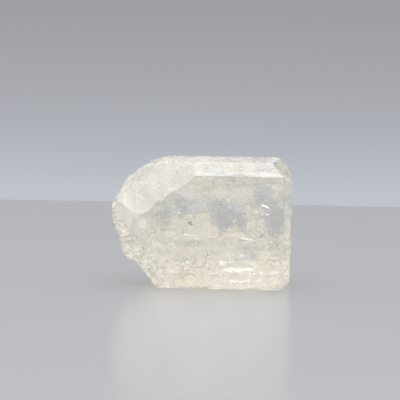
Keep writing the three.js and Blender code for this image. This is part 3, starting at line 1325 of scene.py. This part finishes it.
def backdrop_look():
    """A grey backdrop that glows with its own light, lighter towards the table: painted light in place of
    lamp light falling on it.
    """
    look = Look(bpy.data.materials.new("glowing grey backdrop"))
    place = look.node("ShaderNodeTexCoord", output="Object")
    height = look.dot(place, UPWARD)
    colour = look.node(
        "ShaderNodeValToRGB",
        {"stops": BACKDROP_SHADES},
        {"Fac": (height - BACKDROP_LOW) / BACKDROP_RISE},
    )
    # The backdrop glows: painted light, not lit by the lamps.
    glow = look.node("ShaderNodeEmission", None, {"Color": colour, "Strength": 1.0})
    return look.finish(glow)


def studio_look(settings):
    """The pale room around the table, brightest overhead."""
    look = Look(bpy.data.worlds.new("studio"), "ShaderNodeOutputWorld")
    direction = look.node("ShaderNodeTexCoord", output="Generated")
    rise = look.dot(direction, UPWARD).ramp(*ROOM_RISE)
    strength = ROOM_AT_HORIZON + rise * (settings.room_overhead - ROOM_AT_HORIZON)
    glow = look.node("ShaderNodeBackground", None, {"Color": ROOM_COLOUR, "Strength": strength})
    return look.finish(glow)


def area_light(name, side, power, place):
    """A square light that faces the crystal."""
    data = bpy.data.lights.new(name, "AREA")
    data.shape = "SQUARE"
    data.size = side
    data.energy = power
    lamp = bpy.data.objects.new(name, data)
    lamp.location = place
    lamp.rotation_mode = "QUATERNION"
    lamp.rotation_quaternion = (-Vector(place)).to_track_quat("-Z", "Y")
    bpy.context.scene.collection.objects.link(lamp)


def add_camera():
    forward = Vector((0, math.cos(CAMERA_PITCH), -math.sin(CAMERA_PITCH)))
    upward = Vector((0, math.sin(CAMERA_PITCH), math.cos(CAMERA_PITCH)))
    side = Vector((1, 0, 0))
    across = side * math.cos(CAMERA_ROLL) + upward * math.sin(CAMERA_ROLL)
    up = upward * math.cos(CAMERA_ROLL) - side * math.sin(CAMERA_ROLL)
    data = bpy.data.cameras.new("camera")
    data.sensor_width = SENSOR_WIDTH
    data.lens = FOCAL_PIXELS / PICTURE_SIDE * SENSOR_WIDTH
    data.clip_start = 0.01
    camera = bpy.data.objects.new("camera", data)
    axes = Matrix((across, up, -forward)).transposed().to_4x4()
    camera.matrix_world = Matrix.Translation(CAMERA_PLACE) @ axes
    bpy.context.scene.collection.objects.link(camera)
    bpy.context.scene.camera = camera


class TOPAZ_OT_stage(bpy.types.Operator):
    """Lay out the table, the backdrop, the light and the camera"""

    bl_idname = "topaz.stage"
    bl_label = "Table and light"

    def execute(self, context):
        settings = context.scene.topaz_stage
        span = FLOOR_SPAN / 2
        floor = [
            (-span, -FLOOR_SPAN, -FLOOR_DROP),
            (span, -FLOOR_SPAN, -FLOOR_DROP),
            (span, FLOOR_BACK, -FLOOR_DROP),
            (-span, FLOOR_BACK, -FLOOR_DROP),
        ]
        sheet("table top", floor, floor_look(settings.floor_colour))
        wide = BACKDROP_WIDTH / 2
        wall = [
            (-wide, BACKDROP_Y, -BACKDROP_HEIGHT),
            (wide, BACKDROP_Y, -BACKDROP_HEIGHT),
            (wide, BACKDROP_Y, BACKDROP_HEIGHT),
            (-wide, BACKDROP_Y, BACKDROP_HEIGHT),
        ]
        sheet("backdrop", wall, backdrop_look())
        area_light("softbox", SOFTBOX_SIDE, settings.softbox_power, SOFTBOX_PLACE)
        area_light("fill", FILL_SIDE, settings.fill_power, FILL_PLACE)
        context.scene.world = studio_look(settings)
        context.scene.view_settings.view_transform = "Standard"
        add_camera()
        return {"FINISHED"}


class TOPAZ_PT_panel(bpy.types.Panel):
    """The crystal's and the stage's settings, and the buttons that build them"""

    bl_label = "Topaz crystal"
    bl_idname = "TOPAZ_PT_panel"
    bl_space_type = "VIEW_3D"
    bl_region_type = "UI"
    bl_category = "Topaz"

    def draw(self, context):
        for settings, operator in (
            (context.scene.topaz_crystal, TOPAZ_OT_crystal),
            (context.scene.topaz_stage, TOPAZ_OT_stage),
        ):
            for name in settings.__annotations__:
                self.layout.prop(settings, name)
            self.layout.operator(operator.bl_idname)


CLASSES = (CrystalSettings, StageSettings, TOPAZ_OT_crystal, TOPAZ_OT_stage, TOPAZ_PT_panel)


def register():
    for cls in CLASSES:
        bpy.utils.register_class(cls)
    bpy.types.Scene.topaz_crystal = bpy.props.PointerProperty(type=CrystalSettings)
    bpy.types.Scene.topaz_stage = bpy.props.PointerProperty(type=StageSettings)


def unregister():
    del bpy.types.Scene.topaz_stage
    del bpy.types.Scene.topaz_crystal
    for cls in reversed(CLASSES):
        bpy.utils.unregister_class(cls)


def main():
    register()
    bpy.ops.topaz.stage()
    bpy.ops.topaz.crystal()


if __name__ == "__main__":
    main()
